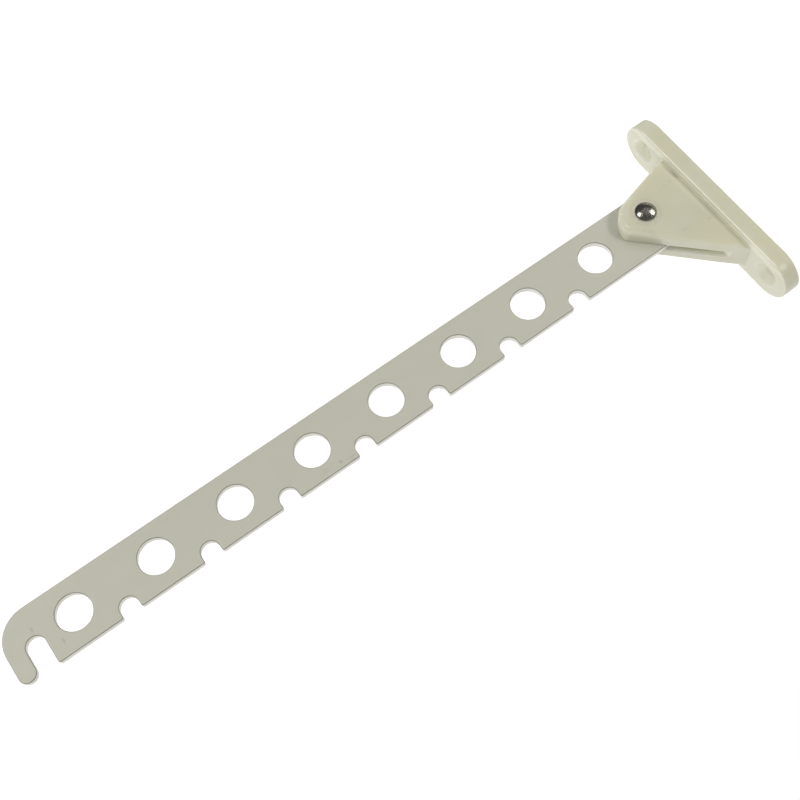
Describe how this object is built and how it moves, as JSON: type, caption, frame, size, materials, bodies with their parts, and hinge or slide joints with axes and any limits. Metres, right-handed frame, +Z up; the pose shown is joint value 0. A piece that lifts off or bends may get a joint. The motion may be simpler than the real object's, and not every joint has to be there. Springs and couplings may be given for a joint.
{
  "type": "closet valet rod",
  "caption": "Folding valet arm: a flat metal bar with hanger holes, upper notches and a hooked tip, riveted in the slot of a moulded screw-on wall bracket.",
  "frame": {"origin": "centre of the bracket's back face, in the plane of the wall", "axes": "+X out of the wall along the open arm, +Z up with the hanger notches facing up, Y along the rivet"},
  "size_m": [0.2401, 0.0162, 0.0716],
  "materials": {
    "ivory_plastic": "ivory moulded plastic, soft satin gloss, light handling scuffs",
    "satin_aluminium": "satin drawn bar with faint bands along it and rolled-over blanked edges",
    "plated_steel": "bright plated rivet and washer"
  },
  "bodies": {
    "bracket": {"bracket": "ivory_plastic", "pivot_rivet": "plated_steel", "rivet_washer": "plated_steel"},
    "arm": {"arm": "satin_aluminium"}
  },
  "joints": [
    {"name": "arm_fold", "type": "hinge", "parent": "bracket", "child": "arm", "pos_m": [0.02182, 0, -0.00815], "axis": [0, -1, 0], "range_deg": [0, 92.7]}
  ]
}
